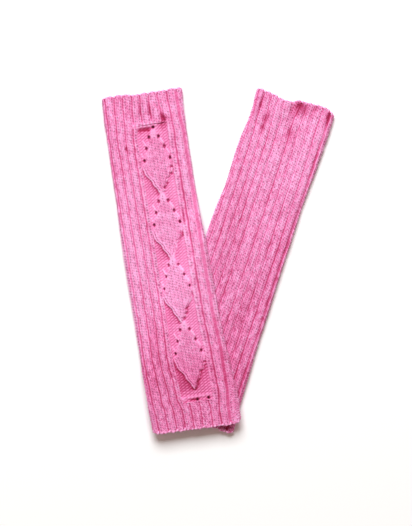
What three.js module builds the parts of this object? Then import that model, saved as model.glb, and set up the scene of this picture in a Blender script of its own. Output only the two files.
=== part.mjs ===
// A pair of hand-knitted ribbed leg warmers, lying flat in a V on the plane z = 0.
// Millimetres, +Z up, +Y towards the open top ends. The plain back of one lies on the ground, and the
// other, with its lace panel showing, lies across its lower end. The origin is under the middle.
import * as THREE from "three";

const THICKNESS = 8.6; // one leg warmer pressed flat: both walls and the hollow between them
const WALL = 2; // through a rib
const RIB_DEPTH = 0.9; // how far the purl grooves lie below the ribs
const GAP = 0.3; // round a lace panel, and between the two leg warmers
const LACE_SHARES = { from: 0.387, to: 0.764 }; // of the way across the face that the lace panel is on
const LACE_START = 39; // from the top mouth to the lace panel
const LACE_END = 371; // from the top mouth to its lower end
const LEAVES = 4;
const LEAF_PITCH = 78;
const FIRST_LEAF = 6; // from the lace panel's start to the first leaf's stem
const LEAF_HALF_WIDTH = 17.5; // at its widest
const STEM_HALF_WIDTH = 4;
const LEAF_WIDEST = 0.5; // of the way from stem to tip
const LEAF_TIP = 0.9; // of the pitch
const LEAF_SLOPE = 3; // width over which a leaf's side rises from the ground stitches
const DRAPE_REACH = 42; // over which the upper leg warmer comes down beside the lower one
const MOUTH_REACH = 45; // over which an uneven mouth evens out
const EDGE_STEP_SHARE = 0.012; // of the width, from a side fold to the next point round it
const LACE_ROWS = 24; // sections along the lace panel

// Each leg warmer: the middle of its top mouth, its lean from the Y axis in degrees, its length, and how
// far its two long edges stand from its middle line (left and right as seen from above). The mouth
// tables give how far the knitting stands past a straight end, at each share of the way across. The
// grooves between the 2 x 2 ribs of its upper layer are shares of the way across too.
const frontLeg = {
  name: "front_leg",
  top: { x: -90.6, y: 202.2 },
  lean: 9.25,
  length: 408,
  edges: [
    { at: 0, left: 50.2, right: 46.3 },
    { at: 30, left: 51.4, right: 44.4 },
    { at: 110, left: 52.6, right: 43.6 },
    { at: 200, left: 54.2, right: 45.4 },
    { at: 290, left: 53.9, right: 47.3 },
    { at: 335, left: 54.4, right: 50.6 },
    { at: 370, left: 54.2, right: 53.8 },
    { at: 408, left: 53.2, right: 52.8 },
  ],
  topMouth: [
    { share: 0, past: -3 },
    { share: 0.05, past: 2 },
    { share: 0.22, past: 2.2 },
    { share: 0.42, past: 0 },
    { share: 0.8, past: 0.8 },
    { share: 0.93, past: -1.5 },
    { share: 1, past: -5 },
  ],
  bottomMouth: [
    { share: 0, past: -4 },
    { share: 0.06, past: 0 },
    { share: 0.93, past: 0 },
    { share: 1, past: -6 },
  ],
  grooves: [0.034, 0.139, 0.233, 0.324, 0.48, 0.6, 0.7, 0.831, 0.963],
  laceAbove: true,
};

const rearLeg = {
  name: "rear_leg",
  top: { x: 92.4, y: 189.6 },
  lean: -18.7,
  length: 398,
  edges: [
    { at: 0, left: 49.4, right: 48.6 },
    { at: 25, left: 47.2, right: 48.9 },
    { at: 70, left: 49.4, right: 48.7 },
    { at: 120, left: 48.6, right: 47.1 },
    { at: 170, left: 50.8, right: 48.2 },
    { at: 280, left: 51.2, right: 49.8 },
    { at: 398, left: 52, right: 52 },
  ],
  topMouth: [
    { share: 0, past: -3 },
    { share: 0.04, past: 2 },
    { share: 0.15, past: 1.8 },
    { share: 0.38, past: -1.2 },
    { share: 0.45, past: -0.8 },
    { share: 0.56, past: 5 },
    { share: 0.88, past: 6.8 },
    { share: 1, past: 0.5 },
  ],
  bottomMouth: [
    { share: 0, past: -4 },
    { share: 0.06, past: 0 },
    { share: 0.94, past: 0 },
    { share: 1, past: -4 },
  ],
  grooves: [0.042, 0.139, 0.233, 0.318, 0.41, 0.564, 0.655, 0.749, 0.858, 0.961],
  laceAbove: false,
};

const pink = () => new THREE.MeshStandardMaterial({ color: 0xee8ab8, roughness: 0.95, metalness: 0 });

const ease = (t) => {
  const held = Math.min(Math.max(t, 0), 1);
  return held * held * (3 - 2 * held);
};

// The value of one column of a table at a place given in another, eased from row to row.
function fromTable(rows, placeColumn, valueColumn, place) {
  const next = rows.findIndex((row) => row[placeColumn] >= place);
  if (next === 0) return rows[0][valueColumn];
  if (next < 0) return rows[rows.length - 1][valueColumn];
  const low = rows[next - 1];
  const high = rows[next];
  const way = (place - low[placeColumn]) / (high[placeColumn] - low[placeColumn]);
  return low[valueColumn] + (high[valueColumn] - low[valueColumn]) * ease(way);
}

function edgesAt(leg, along) {
  const held = Math.min(Math.max(along, 0), leg.length);
  return {
    left: fromTable(leg.edges, "at", "left", held),
    right: fromTable(leg.edges, "at", "right", held),
  };
}

// A leg warmer's own directions on the ground: along it from the top mouth, and across it to the right.
function directions(leg) {
  const lean = THREE.MathUtils.degToRad(leg.lean);
  return {
    along: new THREE.Vector2(Math.sin(lean), -Math.cos(lean)),
    across: new THREE.Vector2(Math.cos(lean), Math.sin(lean)),
  };
}

function groundPoint(leg, along, across) {
  const d = directions(leg);
  const top = new THREE.Vector2(leg.top.x, leg.top.y);
  return top.addScaledVector(d.along, along).addScaledVector(d.across, across);
}

// How far a point of the upper leg warmer's underside is lifted by the lower leg warmer's left side.
function liftAt(leg, point) {
  if (leg !== frontLeg) return 0;
  const d = directions(rearLeg);
  const from = point.clone().sub(new THREE.Vector2(rearLeg.top.x, rearLeg.top.y));
  const insideLeftEdge = from.dot(d.across) + edgesAt(rearLeg, from.dot(d.along)).left;
  return (THICKNESS + GAP) * ease(1 + insideLeftEdge / DRAPE_REACH);
}

// Where a lace panel lies across its leg warmer, as shares from the left as seen from above.
function laceSharesOf(leg) {
  if (leg.laceAbove) return LACE_SHARES;
  return { from: 1 - LACE_SHARES.to, to: 1 - LACE_SHARES.from };
}

// A point of the cloth. It lies at a share across the flattened tube, on the upper or the lower layer,
// on the cloth's outer or inner surface, with its outer surface sunk below the ribs by "sunk".
function clothPoint(leg, along, spot, inner) {
  const nearTop = ease(1 - along / MOUTH_REACH) * fromTable(leg.topMouth, "share", "past", spot.share);
  const nearBottom =
    ease(1 - (leg.length - along) / MOUTH_REACH) * fromTable(leg.bottomMouth, "share", "past", spot.share);
  const place = along - nearTop + nearBottom;
  const { left, right } = edgesAt(leg, along);
  const inset = inner ? WALL : 0;
  const halfHeight = THICKNESS / 2 - inset;
  const width = left + right - 2 * inset;
  const across = -left + inset + spot.share * width;
  const toEdge = Math.min(spot.share, 1 - spot.share) * width;
  const rounded = toEdge < halfHeight ? Math.sqrt(halfHeight ** 2 - (halfHeight - toEdge) ** 2) : halfHeight;
  const height = inner ? rounded : rounded - spot.sunk;
  const onGround = groundPoint(leg, place, across);
  const z = liftAt(leg, onGround) + THICKNESS / 2 + (spot.above ? height : -height);
  return new THREE.Vector3(onGround.x, onGround.y, z);
}

// A closed wall over a grid of rows along the cloth and spots across it. Cells that aren't kept leave a
// hole, and every open side of what is left gets an edge face. A round grid joins its last spot to its first.
function clothWall(leg, rows, spots, isRound, isKept) {
  const positions = [];
  for (const inner of [false, true])
    for (const row of rows)
      for (const spot of spots) positions.push(...clothPoint(leg, row, spot(row), inner).toArray());
  const spotCount = spots.length;
  const innerStart = rows.length * spotCount;
  const cellsAcross = isRound ? spotCount : spotCount - 1;
  const vertex = (row, spot) => row * spotCount + (spot % spotCount);
  const kept = (row, spot) => {
    if (row < 0 || row >= rows.length - 1) return false;
    if (!isRound && (spot < 0 || spot >= cellsAcross)) return false;
    return isKept(row, (spot + cellsAcross) % cellsAcross);
  };
  const faces = [];
  const addQuad = (a, b, c, d) => faces.push(a, b, c, a, c, d);
  const addEdge = (a, b) => addQuad(b, a, a + innerStart, b + innerStart);
  for (let row = 0; row < rows.length - 1; row++) {
    for (let spot = 0; spot < cellsAcross; spot++) {
      if (!kept(row, spot)) continue;
      const corners = [
        vertex(row, spot),
        vertex(row + 1, spot),
        vertex(row + 1, spot + 1),
        vertex(row, spot + 1),
      ];
      addQuad(...corners);
      addQuad(...corners.map((corner) => corner + innerStart).reverse());
      if (!kept(row, spot - 1)) addEdge(corners[0], corners[1]);
      if (!kept(row + 1, spot)) addEdge(corners[1], corners[2]);
      if (!kept(row, spot + 1)) addEdge(corners[2], corners[3]);
      if (!kept(row - 1, spot)) addEdge(corners[3], corners[0]);
    }
  }
  const geometry = new THREE.BufferGeometry();
  geometry.setAttribute("position", new THREE.Float32BufferAttribute(positions, 3));
  geometry.setIndex(faces);
  geometry.computeVertexNormals();
  return geometry;
}

// Even steps from one value to another, both ends included.
function steps(from, to, count) {
  return Array.from({ length: count + 1 }, (_, i) => from + ((to - from) * i) / count);
}

const plainSpot = (share, above) => () => ({ share, above, sunk: 0 });

// The grooves and the ribs' crowns from left to right, with the lace panel's two sides sunk as the
// grooves are, because its ground stitches meet them there.
function upperSpots(leg) {
  const sunkSpot = (share) => () => ({ share, above: true, sunk: RIB_DEPTH });
  const crowns = leg.grooves.slice(1).map((groove, i) => (groove + leg.grooves[i]) / 2);
  const spots = [
    ...leg.grooves.map(sunkSpot),
    ...crowns.map((share) => plainSpot(share, true)),
  ];
  if (leg.laceAbove) spots.push(sunkSpot(LACE_SHARES.from), sunkSpot(LACE_SHARES.to));
  return spots.sort((a, b) => a().share - b().share);
}

// Round the tube: over its upper layer from left to right, and back under it.
function tubeSpots(leg) {
  const lace = laceSharesOf(leg);
  const underShares = [
    1 - EDGE_STEP_SHARE,
    0.95,
    ...steps(0.85, lace.to, 2),
    ...steps(lace.to, lace.from, 4).slice(1),
    ...steps(lace.from, 0.05, 2).slice(1),
    EDGE_STEP_SHARE,
  ];
  return [
    plainSpot(0, true),
    plainSpot(EDGE_STEP_SHARE, true),
    ...upperSpots(leg),
    plainSpot(1 - EDGE_STEP_SHARE, true),
    plainSpot(1, true),
    ...underShares.map((share) => plainSpot(share, false)),
  ];
}

const laceRows = steps(LACE_START, LACE_END, LACE_ROWS);

const tubeRows = (leg) => [
  ...steps(0, LACE_START, 3),
  ...laceRows.slice(1),
  ...steps(LACE_END, leg.length, 3).slice(1),
];

function ribbedTube(leg) {
  const spots = tubeSpots(leg);
  const rows = tubeRows(leg);
  const lace = laceSharesOf(leg);
  const within = (share) => share > lace.from - 1e-6 && share < lace.to + 1e-6;
  const isKept = (row, spot) => {
    const here = spots[spot](0);
    const next = spots[(spot + 1) % spots.length](0);
    const inLaceRows = rows[row] > LACE_START - 1e-6 && rows[row + 1] < LACE_END + 1e-6;
    const onLaceSide = here.above === leg.laceAbove && next.above === leg.laceAbove;
    return !(inLaceRows && onLaceSide && within(here.share) && within(next.share));
  };
  return clothWall(leg, rows, spots, true, isKept);
}

// How far a lace panel's surface lies below the ribs: its leaves stand up from the ground stitches.
function laceSunk(along, fromMiddle) {
  const inLeaf = (along - LACE_START - FIRST_LEAF) / LEAF_PITCH;
  const leaf = Math.floor(inLeaf);
  if (leaf < 0 || leaf >= LEAVES) return RIB_DEPTH;
  const way = (inLeaf - leaf) / LEAF_TIP;
  if (way > 1) return RIB_DEPTH;
  const opening = STEM_HALF_WIDTH + (LEAF_HALF_WIDTH - STEM_HALF_WIDTH) * ease(way / LEAF_WIDEST);
  const closing = (LEAF_HALF_WIDTH * (1 - way)) / (1 - LEAF_WIDEST);
  const halfWidth = Math.min(opening, closing);
  return RIB_DEPTH * (1 - ease((halfWidth - Math.abs(fromMiddle)) / LEAF_SLOPE));
}

function lacePanel(leg) {
  const lace = laceSharesOf(leg);
  const middle = (lace.from + lace.to) / 2;
  const showsLeaves = leg.laceAbove; // a panel that lies face down is pressed flat
  const rows = [LACE_START + GAP, ...laceRows.slice(1, -1), LACE_END - GAP];
  const ways = steps(-1, 1, showsLeaves ? 12 : 4); // from one side of the panel to the other
  if (!leg.laceAbove) ways.reverse();
  const spots = ways.map((way) => (along) => {
    const { left, right } = edgesAt(leg, along);
    const width = left + right;
    const fromMiddle = way * (((lace.to - lace.from) * width) / 2 - GAP);
    const sunk = showsLeaves ? laceSunk(along, fromMiddle) : 0;
    return { share: middle + fromMiddle / width, above: leg.laceAbove, sunk };
  });
  return clothWall(leg, rows, spots, false, () => true);
}

function addPiece(group, name, geometry) {
  const mesh = new THREE.Mesh(geometry, pink());
  mesh.name = name;
  group.add(mesh);
}

const pair = new THREE.Group();
for (const leg of [frontLeg, rearLeg]) {
  addPiece(pair, `${leg.name}_tube`, ribbedTube(leg));
  addPiece(pair, `${leg.name}_lace_panel`, lacePanel(leg));
}

// The origin goes under the middle of the pair.
const reach = new THREE.Box3().setFromObject(pair);
const middle = reach.getCenter(new THREE.Vector3());
pair.position.set(-middle.x, -middle.y, -reach.min.z);

export default pair;
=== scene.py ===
import math

import bpy
import numpy as np
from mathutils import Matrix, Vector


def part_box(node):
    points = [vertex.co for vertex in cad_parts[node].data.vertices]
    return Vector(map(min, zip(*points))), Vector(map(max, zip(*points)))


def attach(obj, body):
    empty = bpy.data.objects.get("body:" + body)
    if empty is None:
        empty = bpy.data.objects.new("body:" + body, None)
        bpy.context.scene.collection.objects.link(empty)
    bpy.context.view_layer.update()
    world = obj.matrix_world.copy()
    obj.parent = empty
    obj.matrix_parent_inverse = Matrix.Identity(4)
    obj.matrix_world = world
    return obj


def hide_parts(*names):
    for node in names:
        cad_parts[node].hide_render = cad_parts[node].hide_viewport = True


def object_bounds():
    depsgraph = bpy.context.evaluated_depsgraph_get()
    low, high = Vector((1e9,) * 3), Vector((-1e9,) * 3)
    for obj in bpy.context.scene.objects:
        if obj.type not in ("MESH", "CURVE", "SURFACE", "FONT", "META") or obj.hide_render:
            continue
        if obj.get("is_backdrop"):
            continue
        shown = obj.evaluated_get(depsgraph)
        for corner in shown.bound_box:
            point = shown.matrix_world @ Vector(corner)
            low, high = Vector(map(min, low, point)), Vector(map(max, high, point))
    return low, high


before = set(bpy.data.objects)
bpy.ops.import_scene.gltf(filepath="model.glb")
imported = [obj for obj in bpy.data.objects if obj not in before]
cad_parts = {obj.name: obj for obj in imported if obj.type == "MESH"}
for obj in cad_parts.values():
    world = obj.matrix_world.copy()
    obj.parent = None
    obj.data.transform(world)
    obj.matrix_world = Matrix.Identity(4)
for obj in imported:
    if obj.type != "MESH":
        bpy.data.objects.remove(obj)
cadBox = [list(corner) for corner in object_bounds()]
bpy.ops.object.select_all(action="DESELECT")
print("frame loaded")

mm = 0.001

# Both tubes are pressed flat. Sizes are in millimetres here and metres in the meshes.
tube = {
    "thickness": 8.6,
    "wall": 2.0,
    "between": 0.3,  # from the lower tube to the one that lies on it
    "drapeReach": 42.0,
    "mouthReach": 45.0,
    "rowHeight": 3.26,
    "stitchWidth": 5.15,
    "scallop": 1.1,  # how far a rib's end bulges out at a mouth
    "foldOverlap": 0.9,  # how far the upper layer comes down past the middle of a side fold
}

# A leg's lines run the whole way down it, each a distance from its middle line. The first column is the
# distance down from the top mouth.
frontLeg = {
    "name": "frontLeg",
    "node": "front_leg",
    "top": (-90.6, 202.2),
    "lean": 9.25,
    "shift": (-0.5, 1.3),
    "length": 408.0,
    "left": [(0, 50.2), (30, 51.4), (110, 52.6), (200, 54.2), (290, 53.9), (335, 54.4), (370, 54.2), (408, 53.2)],
    "right": [(0, 46.3), (30, 44.4), (110, 43.6), (200, 45.4), (290, 47.3), (335, 50.6), (370, 53.8), (408, 52.8)],
    "topMouth": [(0, 0.4), (0.03, 2.8), (0.22, 3.2), (0.42, 0.8), (0.8, 0.8), (0.97, 0.8), (1, -1.2)],
    "bottomMouth": [(0, -7.6), (0.06, -4.4), (0.5, -3.2), (0.8, -2.2), (0.9, -1.9), (0.96, -3.4), (1, -7)],
    # grooves 0 to 3, the lace's left side, grooves 4 to 6, the lace's right side, grooves 7 and 8
    "lines": [
        (0, -46.8, -35.6, -25.2, -14.8, -9.7, -4.6, 5.6, 16.2, 21.9, 27.6, 40.0),
        (28, -47.8, -37.8, -27.8, -16.8, -11.8, -6.8, 5.0, 17.2, 22.9, 28.6, 40.0),
        (50, -49.2, -39.6, -29.6, -20.6, -15.2, -7.0, 4.0, 15.0, 21.8, 29.4, 41.6),
        (75, -49.6, -39.2, -30.0, -21.1, -15.5, -7.0, 3.0, 13.5, 21.0, 28.5, 41.3),
        (266, -49.6, -39.4, -30.0, -21.1, -15.5, -7.0, 3.0, 13.5, 21.0, 28.5, 41.3),
        (315, -50.4, -40.4, -31.6, -22.6, -16.0, -7.0, 4.0, 15.0, 23.0, 30.6, 43.8),
        (362, -48.8, -37.6, -27.8, -19.0, -13.5, -5.5, 6.5, 17.5, 23.8, 31.6, 43.6),
        (386, -46.8, -35.2, -24.8, -14.6, -9.3, -4.0, 7.4, 19.2, 24.4, 29.6, 41.4),
        (408, -46.0, -34.5, -24.2, -14.0, -8.8, -3.5, 7.5, 19.0, 24.3, 29.6, 41.4),
    ],
    "cells": [16, 16, 16, 8, 8, 16, 16, 8, 8, 20],
    # each groove: its line, how deep it is, how far its purl stitches show left and right of the line, and where given
    # how strong the painted shade in it is
    "grooves": [
        {"line": 0, "depth": 1.3, "left": 0.3, "right": 0.2},
        {"line": 1, "depth": 1.2, "left": 0.2, "right": 0.2},
        {"line": 2, "depth": 1.0, "left": 0.1, "right": 0.2},
        {"line": 3, "depth": 1.3, "left": 0.2, "right": 0.3},
        {"line": 5, "depth": 1.0, "left": 0.2, "right": 0.2},
        {"line": 6, "depth": 1.1, "left": 0.2, "right": 0.2},
        {"line": 7, "depth": 1.0, "left": 0.2, "right": 0.2, "shadeScale": 0.85},
        {"line": 9, "depth": 1.3, "left": 0.3, "right": 0.5, "shadeScale": 1.1},
        {"line": 10, "depth": 0.9, "left": 2.4, "right": 0.3, "shadeScale": 0.75},
    ],
    "columns": [2, 2, 2, 2, 2, 2, 2, 2],  # knit stitches across each rib
    "rowSteps": 500,
    # painted shade down the leg: how much darker each stretch of the yarn is drawn; below nothing it is drawn lighter
    "paintedShade": [(0, 0.02), (60, 0.03), (130, -0.04), (190, -0.07), (250, -0.08), (300, 0.03), (340, 0.2), (408, 0.11)],
    "grooveEven": 0.8,  # 1 where the grooves are as deep all the way down
    # soft uneven troughs and ridges: where, their direction, how long and wide, and how high
    "pockets": [  # small hollows with painted shade: where, how long and wide, and how dark
        {"down": 30, "across": 19, "long": 7, "wide": 2.4, "dark": 0.7},
        {"down": 60, "across": -31, "long": 3, "wide": 1.6, "dark": 0.6},
        {"down": 96, "across": 20, "long": 10, "wide": 1.5, "dark": 0.35},
        {"down": 150, "across": 24, "long": 9, "wide": 1.6, "dark": 0.7},
        {"down": 20, "across": 4, "long": 7, "wide": 1.3, "dark": 0.5},
        {"down": 16, "across": -7, "long": 6, "wide": 1.3, "dark": 0.4},
    ],
    "creases": [
        {"down": 14, "across": -20, "turn": 12, "long": 26, "wide": 9, "high": -0.9},
        {"down": 60, "across": 34, "turn": 4, "long": 50, "wide": 8, "high": 0.8},
        {"down": 150, "across": -40, "turn": -6, "long": 60, "wide": 10, "high": 0.7},
        {"down": 232, "across": 35, "turn": 5, "long": 45, "wide": 9, "high": -0.7},
        {"down": 300, "across": -34, "turn": -4, "long": 55, "wide": 9, "high": -0.8},
        {"down": 352, "across": 8, "turn": 74, "long": 34, "wide": 10, "high": 0.9},
        {"down": 384, "across": 38, "turn": 10, "long": 30, "wide": 9, "high": 0.8},
    ],
}

rearLeg = {
    "name": "rearLeg",
    "node": "rear_leg",
    "top": (92.4, 189.6),
    "shift": (-0.5, -1.3),  # from the middle of its solid, as the two mouths aren't trimmed alike
    "lean": -18.7,
    "length": 398.0,
    "left": [(0, 49.4), (25, 47.2), (70, 49.4), (120, 48.6), (170, 50.8), (280, 51.2), (398, 52.0)],
    "right": [(0, 48.6), (25, 48.9), (70, 48.7), (120, 47.1), (170, 48.2), (280, 49.8), (374, 52.2), (398, 55.5)],
    "topMouth": [(0, -2.3), (0.03, -0.4), (0.15, -1), (0.38, -4.2), (0.45, -4), (0.56, 1.4), (0.86, 2.8), (0.95, 0.4), (1, -3.4)],
    "bottomMouth": [(0, -4), (0.06, 0), (0.5, 1.0), (0.7, 3.6), (0.95, 4.6), (1, 1)],
    "lines": [
        (0, -46.6, -39.0, -29.6, -21.4, -14.0, 6.8, 13.6, 23.0, 33.4, 44.4),
        (26, -45.0, -38.4, -28.6, -20.2, -10.8, 4.0, 13.4, 23.2, 33.2, 44.2),
        (60, -45.4, -36.6, -27.2, -18.8, -9.6, 5.6, 14.8, 24.4, 34.8, 44.8),
        (130, -45.6, -36.0, -26.8, -18.4, -9.2, 6.0, 15.2, 24.6, 35.2, 44.9),
        (180, -45.8, -35.4, -26.8, -17.6, -8.2, 6.0, 15.8, 25.0, 36.0, 45.2),
        (290, -46.4, -36.2, -26.8, -18.2, -9.0, 6.2, 15.4, 25.2, 35.6, 46.2),
        (398, -47.0, -37.0, -27.6, -19.0, -9.4, 6.4, 16.0, 26.0, 36.6, 47.6),
    ],
    "cells": [16, 16, 16, 16, 24, 16, 16, 16, 16],
    "grooves": [
        {"line": 0, "depth": 1.2, "left": 0.2, "right": 0.3},
        {"line": 1, "depth": 1.3, "left": 0.2, "right": 0.4},
        {"line": 2, "depth": 0.9, "left": 0.1, "right": 0.2},
        {"line": 3, "depth": 1.2, "left": 0.2, "right": 0.3},
        {"line": 4, "depth": 0.9, "left": 0.1, "right": 0.2},
        {"line": 5, "depth": 1.1, "left": 0.2, "right": 0.3},
        {"line": 6, "depth": 0.8, "left": 0.1, "right": 0.1},
        {"line": 7, "depth": 0.8, "left": 0.1, "right": 0.1},
        {"line": 8, "depth": 1.4, "left": 0.3, "right": 0.4},
        {"line": 9, "depth": 1.5, "left": 1.6, "right": 0.6},
    ],
    "columns": [2, 2, 2, 2, 3, 2, 2, 2, 2],
    "rowSteps": 488,
    # painted shade down the leg, as on the front leg
    "paintedShade": [(0, -0.01), (70, -0.05), (130, -0.01), (190, 0.09), (280, 0.12), (340, 0.26), (398, 0.22)],
    "grooveEven": 0.6,
    "pockets": [
        {"down": 8, "across": 8, "long": 7, "wide": 9, "dark": 0.5},
        {"down": 4, "across": 6, "long": 3.2, "wide": 5, "dark": 0.45},
        {"down": 3, "across": 27, "long": 4, "wide": 3, "dark": 0.5},
        {"down": 7, "across": 42, "long": 8, "wide": 3, "dark": 0.6},
        {"down": 16, "across": -40, "long": 12, "wide": 1.8, "dark": 0.5},
        {"down": 29, "across": -27, "long": 6, "wide": 3.2, "dark": 0.55},
        {"down": 42, "across": -29, "long": 6, "wide": 3.2, "dark": 0.45},
        {"down": 42, "across": 6, "long": 8, "wide": 7, "dark": 0.25},
    ],
    "creases": [
        {"down": 4, "across": -3, "turn": 8, "long": 20, "wide": 5, "high": -2.2},
        {"down": 6, "across": -14, "turn": -14, "long": 22, "wide": 8, "high": 1.0},
        {"down": 24, "across": -32, "turn": 20, "long": 20, "wide": 8, "high": -0.8},
        {"down": 70, "across": 28, "turn": -6, "long": 44, "wide": 9, "high": 0.8},
        {"down": 120, "across": -28, "turn": 6, "long": 46, "wide": 9, "high": -0.7},
        {"down": 190, "across": 12, "turn": 24, "long": 40, "wide": 12, "high": 0.8},
        {"down": 262, "across": 22, "turn": -14, "long": 50, "wide": 10, "high": -0.9},
        {"down": 330, "across": 34, "turn": 5, "long": 44, "wide": 8, "high": 0.8},
    ],
}


def ease(t):
    t = np.clip(t, 0, 1)
    return t * t * (3 - 2 * t)


def fromTable(rows, place, column=1):
    places = np.array([row[0] for row in rows], float)
    values = np.array([row[column] for row in rows], float)
    low = np.clip(np.searchsorted(places, place, side="right") - 1, 0, len(rows) - 2)
    way = (place - places[low]) / (places[low + 1] - places[low])
    return values[low] + (values[low + 1] - values[low]) * ease(way)


def softNoise(x, y, seed):
    # smooth random hills, about one unit apart, from -1 to 1
    rng = np.random.default_rng(seed)
    lattice = rng.uniform(-1, 1, (64, 64))
    i, j = np.floor(x).astype(int), np.floor(y).astype(int)
    a, b = ease(x - i), ease(y - j)
    corner = lambda di, dj: lattice[(i + di) % 64, (j + dj) % 64]
    low = corner(0, 0) * (1 - a) + corner(1, 0) * a
    high = corner(0, 1) * (1 - a) + corner(1, 1) * a
    return low * (1 - b) + high * b


def perStitch(column, row, seed):
    # one random value from -1 to 1 for each stitch
    lattice = np.random.default_rng(seed).uniform(-1, 1, (97, 211))
    return lattice[np.floor(column).astype(int) % 97, np.floor(row).astype(int) % 211]


def groundPoint(leg, down, across):
    lean = math.radians(leg["lean"])
    x = leg["top"][0] + math.sin(lean) * down + math.cos(lean) * across
    y = leg["top"][1] - math.cos(lean) * down + math.sin(lean) * across
    return x, y


def liftAt(leg, x, y):
    if leg is not frontLeg:
        return np.zeros_like(x)
    lean = math.radians(rearLeg["lean"])
    dx, dy = x - rearLeg["top"][0], y - rearLeg["top"][1]
    down = math.sin(lean) * dx - math.cos(lean) * dy
    across = math.cos(lean) * dx + math.sin(lean) * dy
    inside = across + fromTable(rearLeg["left"], np.clip(down, 0, rearLeg["length"]))
    return (tube["thickness"] + tube["between"]) * ease(1 + inside / tube["drapeReach"])


def widthAt(leg, down):
    held = np.clip(down, 0, leg["length"])
    return fromTable(leg["left"], held), fromTable(leg["right"], held)


def scallopAt(leg, across, atTop):
    # each rib's end bulges out a little past the grooves beside it
    places = leg["lines"][0 if atTop else -1][1:]
    nearest = np.min([np.abs(across - place) for place in places], axis=0)
    return tube["scallop"] * (0.5 - np.exp(-((nearest / 2.4) ** 2)))


def clothPoint(leg, down, across, above, inset=0.0, toFold=None):
    # toFold is the way round from the middle of the nearer side fold, where that is known
    left, right = widthAt(leg, down)
    radius = tube["thickness"] / 2 - inset
    share = (across + left) / (left + right)
    nearTop = ease(1 - down / tube["mouthReach"]) * fromTable(leg["topMouth"], share)
    nearBottom = ease(1 - (leg["length"] - down) / tube["mouthReach"]) * fromTable(leg["bottomMouth"], share)
    nearTop = nearTop + ease(1 - down / 12) * scallopAt(leg, across, True)
    nearBottom = nearBottom + ease(1 - (leg["length"] - down) / 12) * scallopAt(leg, across, False)
    x, y = groundPoint(leg, down - nearTop + nearBottom, across)
    if toFold is None:
        toEdge = np.clip(np.minimum(across + left, right - across) - inset, 0, radius)
        high = np.sqrt(radius**2 - (radius - toEdge) ** 2)
    else:
        high = radius * np.sin(np.clip(toFold / radius, -0.5, math.pi / 2))
    z = liftAt(leg, x, y) + tube["thickness"] / 2 + (high if above else -high)
    return np.stack([x, y, z], axis=-1)


def normalsOf(points):
    downward = np.gradient(points, axis=0)
    sideways = np.gradient(points, axis=1)
    normal = np.cross(downward, sideways)
    return normal / np.maximum(np.linalg.norm(normal, axis=-1, keepdims=True), 1e-9)


def knitRelief(column, row, seed):
    # V stitches: two strands in each knit column, which meet low down and dive between the stitches
    row = row + 0.10 * softNoise(column * 0.7, row * 0.4, seed) + 0.5 * (np.floor(column) % 2)
    aside = np.abs(column - np.floor(column) - 0.5)
    phase = row + stitch["slant"] * aside
    strand = 1 - np.abs(2 * (phase - np.floor(phase)) - 1) ** 1.7
    body = 1 - ((aside - 0.26) / 0.26) ** 2 * stitch["strandFall"]
    loose = 1 + 0.25 * perStitch(column, phase, seed + 1)
    return np.clip(strand * np.clip(body, 0.08, 1) * loose, 0, 1.25)


def purlRelief(column, row, seed, slope=0.8):
    # the bars of the purl side, hooked into each other and slanting up to the right
    row = row + 0.12 * softNoise(column * 0.8, row * 0.5, seed)
    phase = row - 0.09 * np.sin(2 * math.pi * column) + slope * column
    bar = 1 - np.abs(2 * (phase - np.floor(phase)) - 1) ** 2.0
    return bar * (0.88 + 0.12 * np.cos(2 * math.pi * column))


def stitchDots(column, row, seed):
    # painted shade dots: the small dark hollow low in the middle of each stitch, and a fainter one between two columns
    row = row + 0.10 * softNoise(column * 0.7, row * 0.4, seed)
    dots = np.zeros_like(row)
    for shift, later, strength in ((0.0, 0.0, 1.0), (0.5, stitch["slant"] / 2, stitch["betweenDots"])):
        place = column + shift
        lowered = row + later + 0.5 * (np.floor(place) % 2)
        aside = place - np.floor(place) - 0.5 + 0.1 * perStitch(place, lowered + 0.5, seed + 5)
        into = lowered - np.round(lowered)
        dot = np.exp(-((aside / stitch["dotWidth"]) ** 2) - ((into / stitch["dotHeight"]) ** 2))
        varied = np.clip(0.75 + 0.45 * perStitch(place, lowered + 0.5, seed + 2), 0, 1)
        dots = np.maximum(dots, strength * varied * dot)
    return dots


stitch = {
    "dotWidth": 0.19,
    "dotHeight": 0.25,
    "dotDepth": 0.6,
    "betweenDots": 0.5,
    "strandFall": 0.55,  # how far a strand falls away towards the sides of its column
    "relief": 1.2,
    "slant": 2.5,  # rows that a strand climbs across one stitch
    "groovePurl": 0.3,
    "columnDip": 0.1,
    "softHills": 0.45,
    "grooveEase": 1.0,
    "crevice": 0.75,  # painted shade: how dark the yarn is drawn between the strands
    "grooveShade": 1.0,
    "ribSide": 2.6,
    "ribRound": 0.5,
    "ribSideShade": 0.08,
}


# painted shade in the crevices between strands, from the knit relief
def creviceOf(knit):
    return stitch["crevice"] * np.clip(1 - knit, 0, 1) ** 1.8


def creaseHeight(leg, down, across):
    high = softNoise(down / 34, across / 17, 5) * stitch["softHills"]
    for crease in leg["creases"]:
        turn = math.radians(crease["turn"])
        dx, dy = across - crease["across"], down - crease["down"]
        along = dy * math.cos(turn) + dx * math.sin(turn)
        aside = dx * math.cos(turn) - dy * math.sin(turn)
        aside = aside + 2.2 * np.sin(along / 13 + crease["down"])
        high = high + crease["high"] * np.exp(-((along / crease["long"]) ** 2) - (aside / crease["wide"]) ** 2)
    return high


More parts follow.
